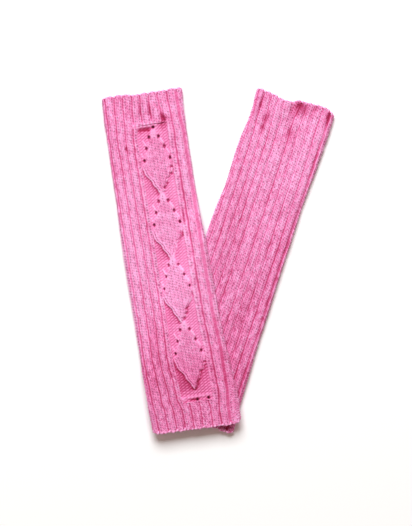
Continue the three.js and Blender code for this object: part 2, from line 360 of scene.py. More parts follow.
def ribPattern(leg, down, across, lines, isLace):
    # column number across, relief, and how dark the yarn lies, for the ribbed face of a leg
    row = down / tube["rowHeight"] + 0.35 * softNoise(down / 45, across / 22, 11)
    grooves = leg["grooves"]
    column = np.zeros_like(across)
    sunk = np.zeros_like(across)
    inGroove = np.zeros_like(across)
    shadeScale = np.ones_like(across)
    first = lines[:, grooves[0]["line"]][:, None]
    last = lines[:, grooves[-1]["line"]][:, None]
    column = np.where(across < first, (across - first + grooves[0]["left"]) / tube["stitchWidth"], column)
    count = 0
    for i, groove in enumerate(grooves[:-1]):
        after = grooves[i + 1]
        start = lines[:, groove["line"]][:, None] + groove["right"]
        end = lines[:, after["line"]][:, None] - after["left"]
        way = np.clip((across - start) / (end - start), 0.001, 0.999)
        here = (across >= start - groove["right"]) & (across < end + after["left"])
        column = np.where(here, count + way * leg["columns"][i], column)
        count += leg["columns"][i]
    past = (across - last - grooves[-1]["right"]) / tube["stitchWidth"]
    column = np.where(across >= last, count + np.maximum(past, 0.001), column)
    for i, groove in enumerate(grooves):
        offset = across - lines[:, groove["line"]][:, None]
        offset = offset + 0.4 * softNoise(row / 1.6, np.full_like(across, i), 31)
        away = np.where(offset < 0, -offset - groove["left"], offset - groove["right"])
        wander = 1 + 0.3 * softNoise(row / 7, np.full_like(across, i * 1.7), 29)
        strength = leg["grooveEven"] + (1 - leg["grooveEven"]) * softNoise(row / 9, np.full_like(across, i * 2.3), 37)
        strength = np.clip(strength, 0, 1) * (0.82 + 0.18 * np.cos(2 * math.pi * row))
        amount = (1 - ease(away / stitch["grooveEase"])) * np.where(isLace(i), 0, 1) * strength
        sunk = np.maximum(sunk, amount * groove["depth"] * wander)
        inGroove = np.maximum(inGroove, amount)
        shadeScale = np.where(amount > 0.05, groove.get("shadeScale", 1.0), shadeScale)
    knit = knitRelief(column, row, 41)
    purl = purlRelief(column * 1.3, row, 43)
    inColumn = np.abs((column % 1.0) - 0.5) * 2
    toGroove = np.full_like(across, 9.0)
    for i, groove in enumerate(grooves):
        far = np.where(isLace(i), 9.0, np.abs(across - lines[:, groove["line"]][:, None]))
        toGroove = np.minimum(toGroove, far)
    side = np.exp(-((toGroove / stitch["ribSide"]) ** 2))
    relief = knit * stitch["relief"] * (1 - inGroove) + purl * stitch["groovePurl"] * inGroove
    relief = relief - stitch["columnDip"] * inColumn**4 * (1 - inGroove) - sunk - stitch["ribRound"] * side
    relief = relief + 0.10 * perStitch(column, row, 47) * (1 - inGroove) * (1 - inColumn)
    # painted shade between the strands, and in the grooves, scaled for each groove
    dark = creviceOf(knit) * (1 - inGroove) + inGroove * shadeScale * (stitch["grooveShade"] - 0.15 * purl)
    # painted shade down the sides of each rib, beside the grooves
    dark = dark + stitch["ribSideShade"] * side * (1 - inGroove)
    dark = dark + 0.18 * perStitch(column * 2, row + stitch["slant"] * inColumn / 2, 53) * (1 - inGroove)
    # painted shade in the creases' troughs and painted light on their ridges
    dark = dark - 0.10 * np.clip(creaseHeight(leg, down, across), -2, 0.6)
    # painted shade and light down the leg, from the leg's table
    dark = dark + fromTable(leg["paintedShade"], down)
    # each pocket is a shallow dip with painted shade in it
    for pocket in leg["pockets"]:
        away = ((down - pocket["down"]) / pocket["long"]) ** 2 + ((across - pocket["across"]) / pocket["wide"]) ** 2
        dark = dark + pocket["dark"] * np.exp(-away)
        relief = relief - pocket["dark"] * np.exp(-away)
    dark = np.clip(dark, 0, 1)
    dots = stitchDots(column, row, 41) * (1 - inGroove)
    relief = relief - stitch["dotDepth"] * dots
    return column, row, relief, dark, dots


def linesAt(leg, down):
    count = len(leg["lines"][0]) - 1
    return np.stack([fromTable(leg["lines"], down, i + 1) for i in range(count)], axis=-1)


def upperGrid(leg, down, foldCells):
    # the whole upper layer of a leg, from the middle of one side fold to the middle of the other
    lines = linesAt(leg, down)
    left, right = widthAt(leg, down)
    radius = tube["thickness"] / 2
    quarter = radius * math.pi / 2

    def fold(toLine):
        # from the seam under the fold up to the first groove's line, as a way round and a way in
        angle = np.arccos(np.clip(1 - toLine / radius, 0, 1))
        whole = np.where(toLine < radius, radius * angle, quarter + toLine - radius)
        ways = np.linspace(0, 1, foldCells + 1)[None, :-1]
        roundWay = -tube["foldOverlap"] + (whole[:, None] + tube["foldOverlap"]) * ways
        inWay = np.where(roundWay < quarter, radius * (1 - np.cos(roundWay / radius)), radius + roundWay - quarter)
        return roundWay, inWay

    roundLeft, inLeft = fold(left + lines[:, 0])
    roundRight, inRight = fold(right - lines[:, -1])
    across, roundWay = [-left[:, None] + inLeft], [roundLeft]
    for i, cells in enumerate(leg["cells"]):
        ways = np.linspace(0, 1, cells + 1)[None, :-1]
        across.append(lines[:, i, None] + (lines[:, i + 1] - lines[:, i])[:, None] * ways)
    across.append(lines[:, -1:])
    across.append((right[:, None] - inRight)[:, ::-1])
    across = np.concatenate(across, axis=1)
    toEdge = np.clip(np.minimum(across + left[:, None], right[:, None] - across), 0, radius)
    way = radius * np.arccos(np.clip(1 - toEdge / radius, -1, 1))
    way[:, :foldCells] = np.minimum(roundLeft, quarter)
    way[:, -foldCells:] = np.minimum(roundRight, quarter)[:, ::-1]
    return across, way, lines


def gridFaces(kept, columns, start, turned):
    rows, cols = np.nonzero(kept)
    corner = start + rows * columns + cols
    quads = np.stack([corner, corner + columns, corner + columns + 1, corner + 1], axis=-1)
    return (quads[:, ::-1] if turned else quads).tolist()


def shell(name, outer, inner, kept, step):
    # A closed thin shell. The inner face has one point for every "step" of the outer ones, and a many-sided
    # edge face closes each stretch between them, round the outside and round any opening.
    rows, columns = outer.shape[:2]
    coarse = inner[::step, ::step]
    innerColumns = coarse.shape[1]
    start = rows * columns
    coarseKept = kept[::step, ::step]
    faces = gridFaces(kept, columns, 0, False) + gridFaces(coarseKept, innerColumns, start, True)
    framed = np.zeros((coarseKept.shape[0] + 2, coarseKept.shape[1] + 2), bool)
    framed[1:-1, 1:-1] = coarseKept
    at = lambda r, c: r * columns + c
    under = lambda r, c: start + r * innerColumns + c
    for r, c in zip(*np.nonzero(coarseKept)):
        top, left = r * step, c * step
        if not framed[r + 1, c]:  # open on the left
            chain = [at(top + k, left) for k in range(step, -1, -1)]
            faces.append(chain + [under(r, c), under(r + 1, c)])
        if not framed[r + 1, c + 2]:
            chain = [at(top + k, left + step) for k in range(step + 1)]
            faces.append(chain + [under(r + 1, c + 1), under(r, c + 1)])
        if not framed[r, c + 1]:
            chain = [at(top, left + k) for k in range(step + 1)]
            faces.append(chain + [under(r, c + 1), under(r, c)])
        if not framed[r + 2, c + 1]:
            chain = [at(top + step, left + k) for k in range(step, -1, -1)]
            faces.append(chain + [under(r + 1, c), under(r + 1, c + 1)])
    points = np.concatenate([outer.reshape(-1, 3), coarse.reshape(-1, 3)]) * mm
    used = np.zeros(len(points), bool)
    for face in faces:
        used[face] = True
    renumber = np.cumsum(used) - 1
    mesh = bpy.data.meshes.new(name)
    mesh.from_pydata(points[used].tolist(), [], [[int(renumber[k]) for k in face] for face in faces])
    obj = bpy.data.objects.new(name, mesh)
    bpy.context.scene.collection.objects.link(obj)
    return obj, used


def dress(obj, used, step, column, row, dark, dots, innerShade=0.8):
    # the stitch coordinates go in a UV map, and the hollows' painted shade, with some random tone, in an attribute; the
    # inside faces get one even painted shade
    coarse = lambda values: values[::step, ::step].ravel()
    mesh = obj.data
    u = np.concatenate([column.ravel(), coarse(column)])[used]
    v = np.concatenate([row.ravel(), coarse(row)])[used]
    hollow = np.concatenate([dark.ravel(), np.full(coarse(dark).shape, innerShade)])[used]
    assert np.isfinite(hollow).all()
    vertexOf = np.zeros(len(mesh.loops), np.int32)
    mesh.loops.foreach_get("vertex_index", vertexOf)
    layer = mesh.uv_layers.new(name="stitches")
    layer.data.foreach_set("uv", np.stack([u[vertexOf], v[vertexOf]], axis=-1).ravel().astype(np.float32))
    attribute = mesh.attributes.new("hollow", "FLOAT", "POINT")
    attribute.data.foreach_set("value", hollow.astype(np.float32))
    # the stitch dots' painted shade, in an attribute of its own
    pores = np.concatenate([dots.ravel(), np.zeros(coarse(dots).shape)])[used]
    mesh.attributes.new("pores", "FLOAT", "POINT").data.foreach_set("value", pores.astype(np.float32))
    mesh.polygons.foreach_set("use_smooth", np.ones(len(mesh.polygons), bool))
    mesh.update()


# ---- placing: the form's box goes on the box of the leg's own solids

def placeOf(leg):
    down = np.linspace(0, leg["length"], 200)
    left, right = widthAt(leg, down)
    shares = np.linspace(0, 1, 60)
    across = -left[:, None] + (left + right)[:, None] * shares[None]
    points = clothPoint(leg, np.repeat(down[:, None], 60, 1), across, True).reshape(-1, 3)
    low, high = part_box(leg["node"] + "_tube")
    middle = (np.array(low) + np.array(high)) / 2 / mm
    own = (points.min(0) + points.max(0)) / 2
    return np.array([middle[0] - own[0] + leg["shift"][0], middle[1] - own[1] + leg["shift"][1], 0.0])


for leg in (frontLeg, rearLeg):
    leg["place"] = placeOf(leg)
    print(leg["name"], "placed", np.round(leg["place"], 3))


# ---- the lace: four leaves of knit stitches on a ground of purl stitches

lace = {
    "start": 37.5,
    "end": 371.0,
    "leaves": [  # down from the mouth to the first pair of holes, the middle line, and the whole length to the tip
        {"down": 50.8, "across": 4.2, "tipAcross": 3.0, "long": 69.5, "open": 1.0},
        {"down": 128.6, "across": 3.4, "tipAcross": 2.1, "long": 70.0, "open": 0.95},
        {"down": 206.0, "across": 2.8, "tipAcross": 2.1, "long": 69.5, "open": 0.8},
        {"down": 284.8, "across": 4.0, "tipAcross": 5.0, "long": 74.0, "open": 0.85},
    ],
    # a leaf's half width at each distance down from its first holes
    "halfWidth": [(-9, 1.5), (0, 5.6), (13, 10.8), (27.5, 15.3), (35, 18.6), (42, 17.0), (56, 9.0), (66, 3.8), (70, 1.8), (72, 0.0)],
    "holes": [  # from a leaf's middle line, and down from its first pair
        {"across": 5.7, "down": 0.0},
        {"across": 10.8, "down": 13.0},
        {"across": 15.4, "down": 27.2},
    ],
    "holeWidth": 1.1,
    "holeHeight": 1.6,
    "columnWidth": 3.9,
    "hatchWidth": 4.5,
    "hatchSlope": 0.9,  # rows that the ground's bars climb across one hatch width
    "groundDepth": 0.9,
    "thickness": 1.0,
    "lowest": -1.65,
    "lip": 3.0,  # the stretch over which the lace comes up to the ribs above it
    "chainWidth": 1.15,
    "chainHeight": 0.3,
    "crown": 0.5,  # how far a leaf swells up in its middle
    "leafRelief": 1.25,
    "leafDark": 0.85,
    "rows": 600,
    "columns": 72,
    "tuck": 1.6,  # how far the lace goes on under the ribs beside it
}


def segmentRidge(x, y, x0, y0, x1, y1, wide):
    # height from 0 to 1 over a short raised strand, and the way along it
    dx, dy = x1 - x0, y1 - y0
    way = np.clip(((x - x0) * dx + (y - y0) * dy) / (dx * dx + dy * dy), 0, 1)
    away = np.hypot(x - x0 - way * dx, y - y0 - way * dy)
    return np.clip(1 - (away / wide) ** 2, 0, 1), way


def lacePattern(down, across):
    row = down / tube["rowHeight"] + 0.3 * softNoise(down / 40, across / 15, 61)
    hatch = purlRelief(across / lace["hatchWidth"], row, 63, lace["hatchSlope"])
    hills = softNoise(down / 16, across / 11, 65)
    relief = -lace["groundDepth"] + 0.9 * (hatch - 0.5) + 0.3 * hills
    # painted shade between the ground's bars and on its low hills
    dark = 0.74 - 0.54 * hatch - 0.08 * hills
    dots = np.zeros(across.shape)
    column = across / lace["columnWidth"]
    holes = np.full(across.shape, 9.0)
    for number, leaf in enumerate(lace["leaves"]):
        below = down - leaf["down"]
        middle = leaf["across"] + (leaf["tipAcross"] - leaf["across"]) * ease(below / leaf["long"])
        aside = across - middle
        scaled = np.where(below > 35, 35 + (below - 35) * 70.0 / leaf["long"], below)
        half = fromTable(lace["halfWidth"], np.clip(scaled, -9, 71))
        half = half * (1 + 0.05 * softNoise(below / 9, np.sign(aside) + 3.0 * number, 67))
        half = half + 0.9 * softNoise(below / 2.4, 5.0 * number + 0 * aside, 75) * ease(aside) * ease((scaled - 33) / 6)
        inside = half - np.abs(aside)
        within = (scaled > -9) * (scaled < 72)
        lower = ease((scaled - 33) / 6) * within
        onLeft = ease(0.5 - aside)
        # the ground sinks beside the closing sides, and most of all right against them, and is painted with shade there
        outward = np.clip(-inside, 0, 20)
        beside = lower * (inside < 1.5) * (0.3 + 0.7 * onLeft)
        relief = relief - beside * (0.2 + 0.45 * np.exp(-outward / 2.5))
        dark = dark + beside * (0.06 + 0.55 * np.exp(-outward / 3.0))
        soft = 2.6 - (0.6 + 1.0 * onLeft) * lower
        inLeaf = ease(inside / soft + 0.4) * ease((scaled + 9) / 4) * ease((72 - scaled) / 2)
        # the knit columns stand upright in the middle and fan out to the sides
        spread = 1 + 0.10 * np.sin(np.clip(scaled, 0, 70) / 70 * math.pi)
        fan = aside / (lace["columnWidth"] * spread) + 0.5
        knit = knitRelief(fan, row, 71 + number)
        crown = np.clip(1 - (np.abs(aside) / np.maximum(half, 1)) ** 2, 0, 1)
        body = lace["leafRelief"] * knit - 0.6 + lace["crown"] * crown
        relief = relief * (1 - inLeaf) + body * inLeaf
        # painted shade between the leaf's strands, with some random tone
        leafDark = lace["leafDark"] * np.clip(1 - knit, 0, 1) ** 1.6 + 0.10 * perStitch(fan, row, 79)
        dark = dark * (1 - inLeaf) + leafDark * inLeaf
        dots = dots * (1 - inLeaf) + stitchDots(fan, row, 71 + number) * inLeaf * ease(inside / 3)
        # decreases: two chains of stitches down each closing side, whole on the left, broken on the right
        beads = 0.5 + 0.5 * np.cos(2 * math.pi * row)
        broken = 0.5 + 0.7 * softNoise(below / 2.6, np.full_like(below, 1.7 * number), 73)
        whole = (onLeft + (1 - onLeft) * ease(broken * 1.6 - 0.5)) * lower * (scaled < 70.5)
        for away, strength in ((0.9, 1.0), (4.1, 0.55)):
            chain = np.exp(-(np.abs((inside - away) / lace["chainWidth"]) ** 2.6)) * whole * strength
            relief = relief + chain * (lace["chainHeight"] + 0.35 * beads)
            # painted shade between the chain's beads
            dark = dark * (1 - chain) + chain * 0.12 * (1 - beads)
            dots = dots * (1 - chain)
        # painted shade in the furrow between the two chains, and in the ragged gaps on the right
        between = np.exp(-(((inside - 2.5) / 0.6) ** 2)) * lower * (scaled < 66)
        dark = dark + 0.3 * between
        dots = np.maximum(dots, 0.9 * between * (1 - beads) * onLeft)
        ragged = np.exp(-(((inside - 0.6) / 1.5) ** 2)) * lower * (1 - onLeft) * ease(1.1 - broken * 1.6)
        relief = relief - 1.2 * ragged
        dark = dark + 0.6 * ragged
        for i, hole in enumerate(lace["holes"]):
            for side in (-1, 1):
                hx = leaf["across"] + side * hole["across"]
                hy = leaf["down"] + hole["down"] + (0.6 if side > 0 else 0.0)
                away = np.hypot((across - hx) / lace["holeWidth"], (down - hy) / lace["holeHeight"]) / leaf["open"]
                holes = np.minimum(holes, away)
                if side > 0:
                    strand, way = segmentRidge(across, down, hx + 1.4, hy + 2.2, hx + 4.6, hy + 8.5, 1.7)
                else:
                    strand, way = segmentRidge(across, down, hx - 2.6, hy - 8.4, hx + 2.9, hy + 4.0, 1.5)
                twist = 0.5 + 0.5 * np.cos(2 * math.pi * way * 3.4)
                strength = (1.0 - 0.22 * i) * strand * (0.0 if side < 0 and i == 0 else 1.0)
                relief = np.maximum(relief, (0.5 + 0.35 * twist) * strength - 1.6 * (1 - strength))
                # painted shade between the strand's twists
                dark = dark * (1 - strength) + 0.12 * (1 - twist) * strength
                dots = dots * (1 - strength)
        # a narrow patch of plain stitches stands over the leaf, between the first two holes
        patch = np.exp(-((aside / 3.4) ** 4) - (((below + 5) / 6.0) ** 4))
        relief = relief * (1 - patch) + patch * (0.8 * knit - 0.1)
        # painted shade between the patch's strands
        dark = dark * (1 - patch) + patch * 0.3 * (1 - knit)
    # the ridge at the lace's start, with painted shade between its bumps, and a hollow under its left half, with
    # painted shade in it
    bumps = 0.5 + 0.5 * np.cos(2 * math.pi * (across / 4.4 + 0.2 * softNoise(down, across / 6, 69)))
    ridge = np.exp(-(((down - lace["start"]) / 1.8) ** 2)) * ease((14 - across) / 8)
    relief = relief + (0.7 + 0.7 * bumps) * ridge
    dark = dark * (1 - ridge) + 0.3 * ridge * (1 - bumps)
    uneven = softNoise(across / 2.5, down / 3, 77)
    hollow = np.exp(-(((down - 41.2 - 0.6 * uneven) / (2.4 + 0.7 * uneven)) ** 2) - ((across + 5.6 + uneven) / 8.0) ** 4)
    relief = relief * (1 - hollow) - (2.2 - 0.5 * hatch) * hollow
    dark = dark + (1.0 - 0.3 * hatch) * hollow
    # a hollow right of the ridge, with painted shade in it
    paintedShade = np.exp(-(((down - 37.0) / 7.0) ** 2) - ((across - 17) / 5.5) ** 2)
    dark = dark + 0.4 * paintedShade
    relief = relief - 0.6 * paintedShade
    # the last rows: a ridge, painted lighter on its bumps, and a slit with painted shade and two holes above the ribs
    ridge = np.exp(-(((down - 366.4) / 1.7) ** 2)) * ease((22 - np.abs(across - 4)) / 5)
    relief = relief + (0.4 + 0.5 * bumps) * ridge
    dark = dark * (1 - ridge * (0.3 + 0.5 * bumps))
    slit = np.exp(-(((down - 370.0) / 1.2) ** 2) - ((across - 1.8) / 6.2) ** 4)
    relief = relief - 1.2 * slit
    dark = dark + 0.5 * slit
    for hx, hy in ((5.2, 39.5), (5.6, 370.4), (19.0, 370.2)):
        holes = np.minimum(holes, np.hypot((across - hx) / 1.3, (down - hy) / 1.4))
    # a raised bead, with the painted shade taken off it so that it reads light
    bead = np.exp(-(((down - 368.2) / 1.8) ** 2) - ((across + 11) / 2.4) ** 2)
    relief = relief + 1.1 * bead
    dark = dark * (1 - bead)
    # the same painted shade down the leg as on the ribs
    dark = dark + fromTable(frontLeg["paintedShade"], down)
    # painted shade round the holes
    near = np.exp(-((np.clip(holes - 0.9, 0, 9) / 0.7) ** 2))
    dark = np.clip(dark, 0, 1) * (1 - near) + 1.0 * near
    relief = np.maximum(relief - 1.0 * near, lace["lowest"])
    return column, row, relief, np.clip(dark, 0, 1), np.clip(dots, 0, 1), holes


# ---- the pieces

def pad(values, cells):
    return np.concatenate([values] * cells)


def buildUpper(leg, laceRows):
    steps = leg["rowSteps"]
    down = np.linspace(0, leg["length"], steps + 1)
    foldCells = 12
    across, roundWay, lines = upperGrid(leg, down, foldCells)
    downGrid = np.repeat(down[:, None], across.shape[1], axis=1)
    isLace = lambda i: np.zeros_like(across, bool)
    if laceRows:
        within = (downGrid > lace["start"] - 6) & (downGrid < lace["end"] + 2)
        isLace = lambda i: within if i in (4, 5, 6) else np.zeros_like(across, bool)
    column, row, relief, dark, dots = ribPattern(leg, downGrid, across, lines, isLace)
    if laceRows:
        # a ridge of closely worked rows over the lace, with painted shade between its bumps
        band = np.exp(-(((downGrid - lace["start"] + 2.4) / 2.4) ** 2)) * ease((across + 21) / 2) * ease((15 - across) / 8)
        bumps = 0.5 + 0.5 * np.cos(2 * math.pi * across / 4.4)
        relief = relief * (1 - 0.7 * band) + band * (0.3 + 0.6 * bumps)
        dark = dark * (1 - band) + band * 0.45 * (1 - bumps)
        # a hollow at the ridge's right end, with painted shade in it
        paintedShade = np.exp(-(((downGrid - 33) / 5.0) ** 2) - ((across - 20) / 4.0) ** 2)
        dark = np.clip(dark + 0.5 * paintedShade, 0, 1)
        relief = relief - 0.9 * paintedShade
        # the last row before the lace lies low, so that the lace goes on from it
        seam = np.exp(-(((downGrid - lace["start"]) / 1.3) ** 2)) * ease((across + 19) / 2) * ease((25 - across) / 2)
        relief = relief * (1 - seam) + 0.45 * seam
    base = clothPoint(leg, downGrid, across, True, 0.0, roundWay)
    base[..., 2] += creaseHeight(leg, downGrid, across) * ease(roundWay / 6.0)
    normal = normalsOf(base)
    outer = base + normal * relief[..., None] + leg["place"]
    inner = base - normal * tube["wall"] + leg["place"]
    kept = np.ones((outer.shape[0] - 1, outer.shape[1] - 1), bool)
    if laceRows:
        step = 4
        first = int(round(lace["start"] / leg["length"] * steps / step)) * step
        last = int(round(lace["end"] / leg["length"] * steps / step)) * step
        leftColumn = foldCells + sum(leg["cells"][:4])
        rightColumn = foldCells + sum(leg["cells"][:8])
        kept[first:last, leftColumn:rightColumn] = False
        leg["window"] = (down[first], down[last])
    obj, used = shell(leg["name"] + "Face", outer, inner, kept, 4)
    dress(obj, used, 4, column, row, dark, dots)
    print(obj.name, len(obj.data.polygons), "faces")
    return obj


def buildLace(leg, above, rows, columns, step):
    # the lace panel; on the leg that lies face down it is a mirrored, flatter one under it
    tuck = lace["tuck"]
    top, bottom = frontLeg["window"]
    scale = leg["length"] / frontLeg["length"] if not above else 1.0
    down = np.linspace(top - tuck, bottom + tuck, rows + 1)
    lines = linesAt(frontLeg, down)
    ways = np.linspace(0, 1, columns + 1)[None]
    left, right = lines[:, 4:5] - tuck, lines[:, 8:9] + tuck
    across = left + (right - left) * ways
    downGrid = np.repeat(down[:, None], columns + 1, axis=1)
    column, row, relief, dark, dots, holes = lacePattern(downGrid, across)
    # the border goes down under the ribs beside it
    border = np.minimum(across - left, right - across)
    ends = np.minimum(downGrid - down[0], down[-1] - downGrid)
    tucked = 1 - ease(np.minimum(border, ends + 0.4) / (tuck * 1.15))
    lip = 1 - ease((downGrid - down[0]) / lace["lip"])
    relief = (relief - 0.5 * tucked * (relief > -1.6)) * (1 - lip) + 0.4 * lip
    place = across if above else -across
    downPlace = downGrid if above else downGrid * scale
    base = clothPoint(leg, downPlace, place, above)
    if above:
        base[..., 2] += creaseHeight(leg, downGrid, across)
        normal = normalsOf(base)
        outer = base + normal * relief[..., None] + leg["place"]
        inner = outer - normal * lace["thickness"]
    else:
        outer, inner = base.copy(), base.copy()
        outer[..., 2] += 0.9 - 0.6 * np.clip(relief, -1.6, 1.5)
        inner[..., 2] += tube["wall"] + 0.6
        outer, inner = outer + leg["place"], inner + leg["place"]
    kept = np.ones((rows, columns), bool)
    if step == 1:
        open_ = holes[:-1, :-1] < 1
        for shift in ((1, 0), (0, 1), (1, 1)):
            open_ |= holes[shift[0]:rows + shift[0], shift[1]:columns + shift[1]] < 1
        middles = (holes[:-1, :-1] + holes[1:, 1:] + holes[1:, :-1] + holes[:-1, 1:]) / 4
        kept = middles >= 1
    obj, used = shell(leg["name"] + "Lace", outer, inner, kept, step)
    dress(obj, used, step, column, row, dark, dots)
    print(obj.name, len(obj.data.polygons), "faces")
    return obj


def buildUnder(leg, window):
    # the lower layer, round from the right fold to the left one
    steps = 248
    down = np.linspace(0, leg["length"], steps + 1)
    left, right = widthAt(leg, down)
    radius = tube["thickness"] / 2
    quarter = radius * math.pi / 2
    foldCells, flatCells = 8, 96
    roundWay = np.concatenate([np.linspace(0, quarter, foldCells, endpoint=False)])
    foldIn = radius * (1 - np.cos(roundWay / radius))
    rightPart = right[:, None] - foldIn[None]
    if window:
        # the lace's sides on the underside, mirrored from the other leg's
        lines = linesAt(frontLeg, down)
        stops = [right - radius, -lines[:, 4], -lines[:, 8], -left + radius]
        counts = [36, 32, 28]
    else:
        stops = [right - radius, -left + radius]
        counts = [flatCells]
    middle = []
    for i, count in enumerate(counts):
        ways = np.linspace(0, 1, count, endpoint=False)[None]
        middle.append(stops[i][:, None] + (stops[i + 1] - stops[i])[:, None] * ways)
    across = np.concatenate([rightPart] + middle + [stops[-1][:, None], (-left[:, None] + foldIn[None])[:, ::-1]], axis=1)
    way = np.full(across.shape, quarter)
    way[:, :foldCells] = roundWay
    way[:, -foldCells:] = roundWay[::-1]
    downGrid = np.repeat(down[:, None], across.shape[1], axis=1)
    base = clothPoint(leg, downGrid, across, False, 0.0, way)
    lengthRound = np.concatenate(
        [np.zeros((len(down), 1)), np.cumsum(np.linalg.norm(np.diff(base, axis=1), axis=-1), axis=1)], axis=1
    )
    column = lengthRound / tube["stitchWidth"]
    row = downGrid / tube["rowHeight"]
    inRib = np.abs((column / 2) % 1.0 - 0.5) * 2
    sunk = 0.9 * ease((inRib - 0.82) / 0.18)
    relief = -0.5 * (1 - knitRelief(column, row, 81)) - sunk
    # painted shade between the strands and in the grooves
    dark = np.clip(0.4 * (1 - knitRelief(column, row, 81)) + 0.6 * ease((inRib - 0.8) / 0.2), 0, 1)
    normal = normalsOf(base)
    outer = base + normal * relief[..., None] + leg["place"]
    outer[..., 2] = np.maximum(outer[..., 2], 0)
    thick = np.full(across.shape, tube["wall"])
    if not window:
        # the back comes up to meet the lace, as it shows through the holes
        upright = ease((downGrid - 42) / 16) * ease((366 - downGrid) / 16)
        thick = thick + 3.8 * upright * ease(1.6 - np.abs(across - 3) / 16)
    inner = base - normal * thick[..., None] + leg["place"]
    kept = np.ones((outer.shape[0] - 1, outer.shape[1] - 1), bool)
    if window:
        scale = leg["length"] / frontLeg["length"]
        first = int(round(window[0] * scale / leg["length"] * steps / 4)) * 4
        last = int(round(window[1] * scale / leg["length"] * steps / 4)) * 4
        kept[first:last, foldCells + counts[0]:foldCells + counts[0] + counts[1]] = False
    obj, used = shell(leg["name"] + "Back", outer, inner, kept, 4)
    # the stitch dots here are painted shade too, fainter
    dress(obj, used, 4, column, row, dark, 0.6 * stitchDots(column, row, 81))
    print(obj.name, len(obj.data.polygons), "faces")
    return obj


castOff = {
    "pitch": 4.6,
    "radius": 1.5,
    "sides": 10,
    "perBead": 10,
    "wave": 1.5,
    "topInset": 0.9,  # how far the chain lies in from the mouth's line
    "bottomInset": 2.4,
}


def buildMouthEdge(leg, atTop):
    # a chain of cast-off stitches round a mouth, over the upper layer and back under it
    down = 0.0 if atTop else leg["length"]
    left, right = (float(v) for v in widthAt(leg, np.array([down])))
    radius = tube["thickness"] / 2 - 1.0
    quarter = radius * math.pi / 2
    flat = left + right - 2 * (radius + 1.0)
    whole = 2 * flat + 4 * quarter
    beads = int(round(whole / castOff["pitch"]))
    count = beads * castOff["perBead"]
    s = np.linspace(0, whole, count, endpoint=False)
    upper = s < whole / 2
    t = np.where(upper, s, s - whole / 2)
    onLeft = t < quarter
    onRight = t > quarter + flat
    inLeft = radius * (1 - np.cos(t / radius))
    rest = np.clip(2 * quarter + flat - t, 0, None)
    inRight = radius * (1 - np.cos(rest / radius))
    across = np.where(onLeft, -left + 1 + inLeft, np.where(onRight, right - 1 - inRight, -left + 1 + radius + t - quarter))
    high = np.where(onLeft, radius * np.sin(t / radius), np.where(onRight, radius * np.sin(rest / radius), radius))
    across = np.where(upper, across, right - left - across)
    share = (across + left) / (left + right)
    mouth = fromTable(leg["topMouth"], share) if atTop else fromTable(leg["bottomMouth"], share)
    mouth = mouth + scallopAt(leg, across, atTop)
    beadWay = s / whole * beads
    inset = castOff["topInset"] if atTop else castOff["bottomInset"]
    wave = castOff["wave"] * np.abs(np.sin(math.pi * beadWay)) - inset
    place = down - mouth - wave if atTop else down + mouth + wave
    x, y = groundPoint(leg, place, across)
    lift = liftAt(leg, x, y)
    crease = creaseHeight(leg, np.full_like(across, down), across) * ease(np.minimum(t, whole / 2 - t) / 6.0)
    z = lift + tube["thickness"] / 2 + np.where(upper, high + crease, -high)
    centre = np.stack([x, y, z], axis=-1)
    forward = np.roll(centre, -1, axis=0) - np.roll(centre, 1, axis=0)
    forward /= np.linalg.norm(forward, axis=1, keepdims=True)
    lean = math.radians(leg["lean"])
    outward = np.array([math.sin(lean), -math.cos(lean), 0.0]) * (-1 if atTop else 1)
    side = np.cross(forward, outward)
    side /= np.linalg.norm(side, axis=1, keepdims=True)
    out = np.cross(side, forward)
    angles = np.linspace(0, 2 * math.pi, castOff["sides"], endpoint=False)
    # each bead is fat in its middle and its yarn slants round the edge
    slant = (beadWay[:, None] + 0.16 * np.sin(angles)[None]) % 1.0
    fat = castOff["radius"] * (0.35 + 0.7 * np.sin(math.pi * slant))
    fat = fat * (1 + 0.10 * np.random.default_rng(91).uniform(-1, 1, beads)[np.floor(beadWay).astype(int) % beads][:, None])
    ring = centre[:, None] + fat[..., None] * (
        np.cos(angles)[None, :, None] * side[:, None] + np.sin(angles)[None, :, None] * out[:, None] * 1.15
    )
    ring = ring + leg["place"]
    ring[..., 2] = np.maximum(ring[..., 2], 0)
    n, k = count, castOff["sides"]
    i, j = np.meshgrid(np.arange(n), np.arange(k), indexing="ij")
    a = i * k + j
    b = ((i + 1) % n) * k + j
    c = ((i + 1) % n) * k + (j + 1) % k
    d = i * k + (j + 1) % k
    faces = np.stack([a, b, c, d], axis=-1).reshape(-1, 4)
    mesh = bpy.data.meshes.new(leg["name"] + ("TopEdge" if atTop else "BottomEdge"))
    mesh.from_pydata((ring.reshape(-1, 3) * mm).tolist(), [], faces.tolist())
    mesh.polygons.foreach_set("use_smooth", np.ones(len(mesh.polygons), bool))
    layer = mesh.uv_layers.new(name="stitches")
    vertexOf = np.zeros(len(mesh.loops), np.int32)
    mesh.loops.foreach_get("vertex_index", vertexOf)
    u = np.repeat(beadWay, k)
    v = np.tile(angles / (2 * math.pi), n)
    layer.data.foreach_set("uv", np.stack([u[vertexOf], v[vertexOf]], axis=-1).ravel().astype(np.float32))
    # painted shade between the beads
    hollow = np.clip(2.2 * np.clip(1 - np.sin(math.pi * slant), 0, 1) ** 1.3, 0, 1).ravel()
    mesh.attributes.new("hollow", "FLOAT", "POINT").data.foreach_set("value", hollow.astype(np.float32))
    obj = bpy.data.objects.new(mesh.name, mesh)
    bpy.context.scene.collection.objects.link(obj)
    import bmesh
    work = bmesh.new()
    work.from_mesh(mesh)
    bmesh.ops.recalc_face_normals(work, faces=work.faces)
    work.to_mesh(mesh)
    work.free()
    return obj


# ---- the yarn's finish

yarn = {
    "light": (1.0, 0.52, 0.83),
    "middle": (0.90, 0.27, 0.55),
    # hollow and deep: the colours of the painted shade in crevices, grooves and the darkest recesses
    "hollow": (0.61, 0.075, 0.225),
    "deep": (0.38, 0.017, 0.075),
    # pore: the colour of the painted shade in the stitch dots
    "pore": (0.24, 0.014, 0.07),
    "roughness": 0.92,
    "sheen": 0.12,
    "fibreScale": 900.0,
    "mottleScale": 160.0,
}


